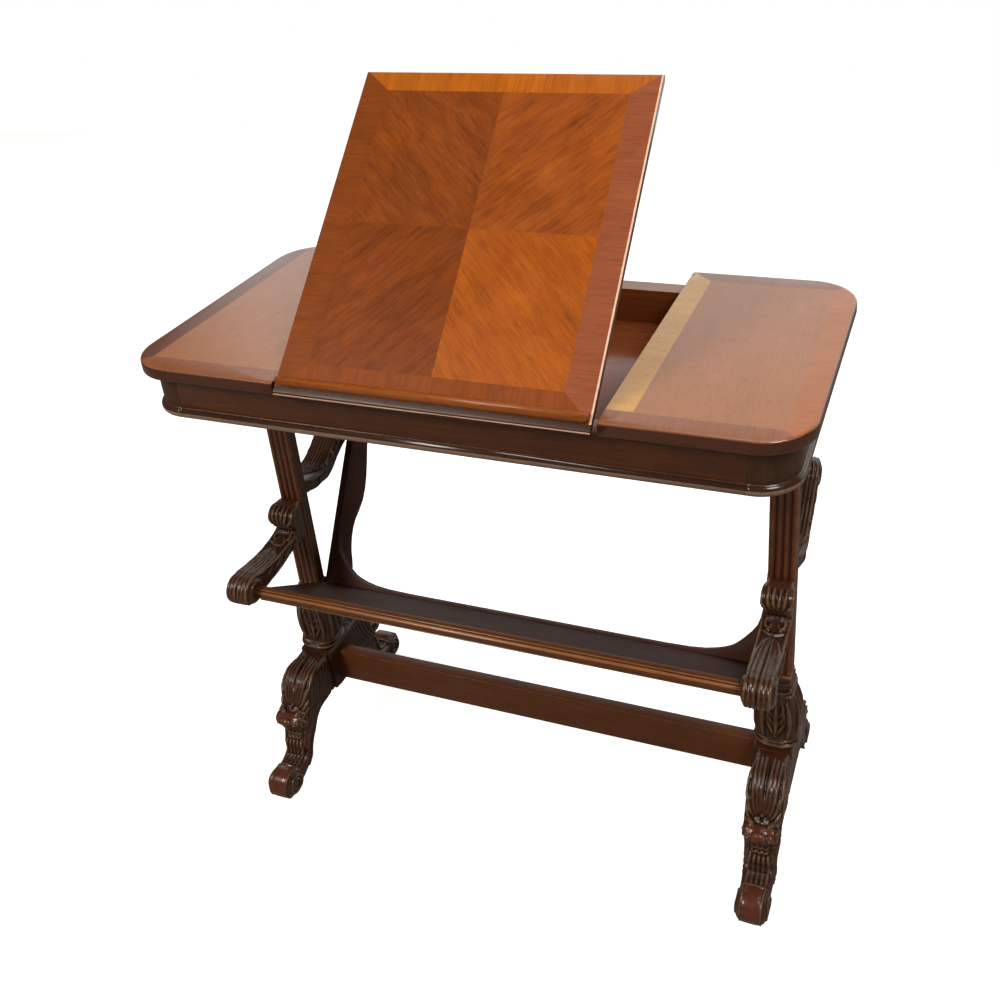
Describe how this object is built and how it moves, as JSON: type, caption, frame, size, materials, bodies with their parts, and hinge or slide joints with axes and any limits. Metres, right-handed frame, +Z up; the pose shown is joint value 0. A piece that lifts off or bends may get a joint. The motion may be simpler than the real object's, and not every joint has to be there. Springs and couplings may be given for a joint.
{
  "type": "reading table",
  "caption": "Wooden reading table with a hinged, propped reading slope over a well, carved trestle legs, a stretcher and an open book trough.",
  "frame": {"origin": "on the floor under the middle of the fixed top; the box centre lies a few millimetres forward of it because the raised slope's front edge overhangs", "axes": "+X along the length of the top to the viewer's right, +Y to the back, +Z up"},
  "size_m": [0.832, 0.423, 1.043],
  "materials": {
    "veneer": "polished figured veneer",
    "dark_wood": "polished dark red-brown wood",
    "carved_wood": "worn polished carving",
    "plain_wood": "satin mid-brown wood",
    "pale_wood": "polished orange-brown wood",
    "brass": "dulled brass",
    "steel": "dull steel"
  },
  "bodies": {
    "table": {"left_top_panel": "veneer", "right_top_panel": "veneer", "front_frieze": "dark_wood", "back_frieze": "dark_wood", "left_frieze": "dark_wood", "right_frieze": "dark_wood", "front_left_corner": "dark_wood", "front_right_corner": "dark_wood", "back_left_corner": "dark_wood", "back_right_corner": "dark_wood", "front_bead": "dark_wood", "back_bead": "dark_wood", "left_bead": "dark_wood", "right_bead": "dark_wood", "well_floor": "dark_wood", "left_well_wall": "dark_wood", "right_well_wall": "dark_wood", "left_bearer": "dark_wood", "right_bearer": "dark_wood", "panel_screws": "steel", "left_rack": "plain_wood", "right_rack": "plain_wood", "left_vase": "carved_wood", "right_vase": "carved_wood", "left_foot_block": "carved_wood", "right_foot_block": "carved_wood", "left_front_leg": "carved_wood", "left_rear_leg": "carved_wood", "right_front_leg": "carved_wood", "right_rear_leg": "carved_wood", "left_front_bracket": "carved_wood", "right_front_bracket": "carved_wood", "left_rear_arm": "carved_wood", "right_rear_arm": "carved_wood", "left_post": "carved_wood", "right_post": "carved_wood", "stretcher": "plain_wood", "stretcher_pegs": "plain_wood", "trough_seat": "dark_wood", "trough_back": "dark_wood", "left_trough_cheek": "dark_wood", "right_trough_cheek": "dark_wood", "trough_front_rail": "pale_wood", "trough_dowels": "plain_wood", "left_table_leaf": "brass", "right_table_leaf": "brass", "hinge_pins": "brass", "table_leaf_screws": "brass"},
    "slope": {"reading_slope": "veneer", "book_rest": "pale_wood", "left_slope_leaf": "brass", "right_slope_leaf": "brass", "slope_leaf_screws": "brass", "left_prop_bracket": "brass", "right_prop_bracket": "brass", "prop_pins": "steel", "bracket_screws": "brass"},
    "prop": {"left_prop_strut": "plain_wood", "right_prop_strut": "plain_wood", "prop_foot_bar": "plain_wood"}
  },
  "joints": [
    {"name": "slope_hinge", "type": "hinge", "parent": "table", "child": "slope", "pos_m": [0, -0.2002, 0.743], "axis": [1, 0, 0], "range_deg": [-42.5, 12.4]},
    {"name": "prop_hinge", "type": "hinge", "parent": "slope", "child": "prop", "pos_m": [0, -0.06965, 0.85219], "axis": [1, 0, 0], "range_deg": [-25.3, 86.6]}
  ],
  "couplings": [
    {"joint": "prop_hinge", "follows": "slope_hinge", "ratio": -2.0358}
  ]
}
